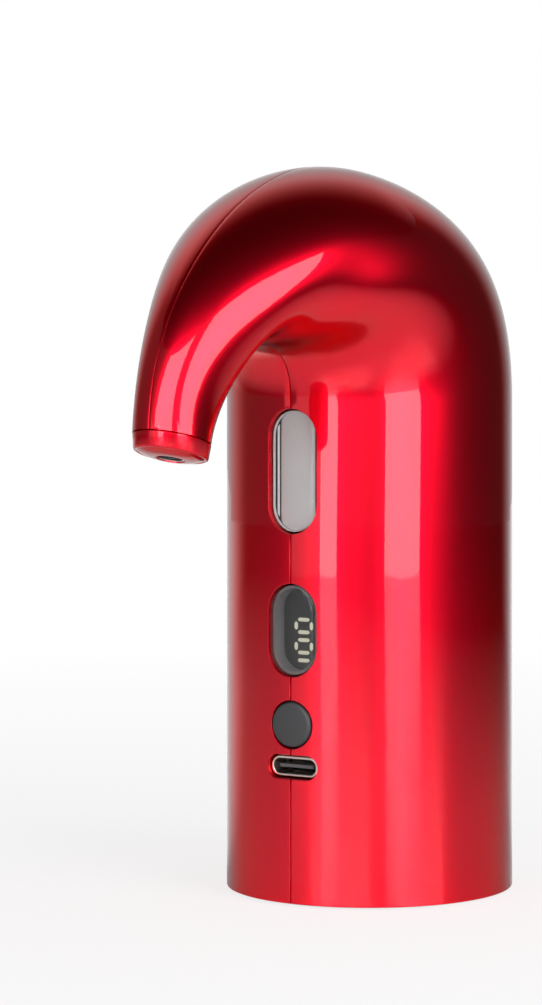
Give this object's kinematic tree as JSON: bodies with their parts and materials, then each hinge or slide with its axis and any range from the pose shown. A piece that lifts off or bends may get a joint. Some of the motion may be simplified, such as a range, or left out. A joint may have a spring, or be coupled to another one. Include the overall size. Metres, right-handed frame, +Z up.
{
  "type": "electric wine aerator",
  "caption": "Battery-powered wine aerator and pourer: an upright round body that stands on a bottle's neck, with an arched spout, windows, a push button and a charging port.",
  "frame": {"origin": "on the body's axis, at the height of the base's rim, which is where the bottle's neck enters", "axes": "+Z up along the body's axis, -Y to the front where the spout, windows, button and port are, +X to the object's left, which is the right of someone facing its front"},
  "size_m": [0.048, 0.087, 0.12],
  "materials": {
    "casing_red": "candy red gloss lacquer over ABS",
    "button_grey": "dark grey satin ABS",
    "black_plastic": "black moulded plastic",
    "grey_plastic": "grey moulded nylon",
    "white_plastic": "white acetal",
    "pale_guide": "pale diffusing light guide",
    "clear_plastic": "clear polycarbonate",
    "smoked_plastic": "smoked polycarbonate",
    "steel": "stainless or plated steel",
    "rotor_copper": "enamelled copper winding on steel",
    "silicone": "translucent silicone",
    "grey_rubber": "grey rubber",
    "board_green": "solder mask on glass-fibre board",
    "battery_blue": "shrink wrap",
    "red_wire": "PVC insulation",
    "black_wire": "PVC insulation"
  },
  "bodies": {
    "casing": {"left_shell": "casing_red", "right_shell": "casing_red", "spout_collar": "casing_red", "inner_frame": "black_plastic", "bottle_socket": "black_plastic", "tact_switch": "black_plastic", "port_insert": "black_plastic", "display_module": "black_plastic", "controller_chip": "black_plastic", "boost_coil": "black_plastic", "motor_magnet_1": "black_plastic", "motor_magnet_2": "black_plastic", "motor_end_bell": "black_plastic", "pump_cover": "grey_plastic", "pump_housing": "grey_plastic", "wine_inlet": "white_plastic", "valve_plate": "white_plastic", "pump_yoke": "white_plastic", "battery_plug": "white_plastic", "motor_plug": "white_plastic", "display_guide": "pale_guide", "flow_window": "clear_plastic", "aeration_chamber": "clear_plastic", "display_window": "smoked_plastic", "outlet_nozzle": "steel", "port_shell": "steel", "motor_can": "steel", "base_screw_1": "steel", "base_screw_2": "steel", "base_screw_3": "steel", "frame_screw_1": "steel", "frame_screw_2": "steel", "frame_screw_3": "steel", "board_screw_1": "steel", "board_screw_2": "steel", "board_screw_3": "steel", "board_screw_4": "steel", "bottle_seal": "silicone", "riser_hose": "silicone", "spout_hose": "silicone", "air_hose": "silicone", "pump_diaphragm": "grey_rubber", "motor_sleeve": "grey_rubber", "main_board": "board_green", "battery_guard": "board_green", "battery_cell": "battery_blue", "battery_lead_1": "red_wire", "motor_lead_1": "red_wire", "battery_lead_2": "black_wire", "motor_lead_2": "black_wire"},
    "button": {"power_button": "button_grey"},
    "stem": {"switch_stem": "white_plastic"},
    "rotor": {"motor_rotor": "rotor_copper", "crank_hub": "white_plastic"}
  },
  "joints": [
    {"name": "button_press", "type": "slide", "parent": "casing", "child": "button", "axis": [0, 1, 0], "range_m": [0, 0.0005], "stiffness_N_per_m": 800, "springref_m": -0.0005},
    {"name": "stem_press", "type": "slide", "parent": "casing", "child": "stem", "axis": [0, 1, 0], "range_m": [0, 0.0005]},
    {"name": "rotor_spin", "type": "hinge", "parent": "casing", "child": "rotor", "pos_m": [-0.008, 0.0065, 0.055], "axis": [0, 0, 1], "continuous": true}
  ],
  "couplings": [
    {"joint": "stem_press", "follows": "button_press", "ratio": 1}
  ]
}
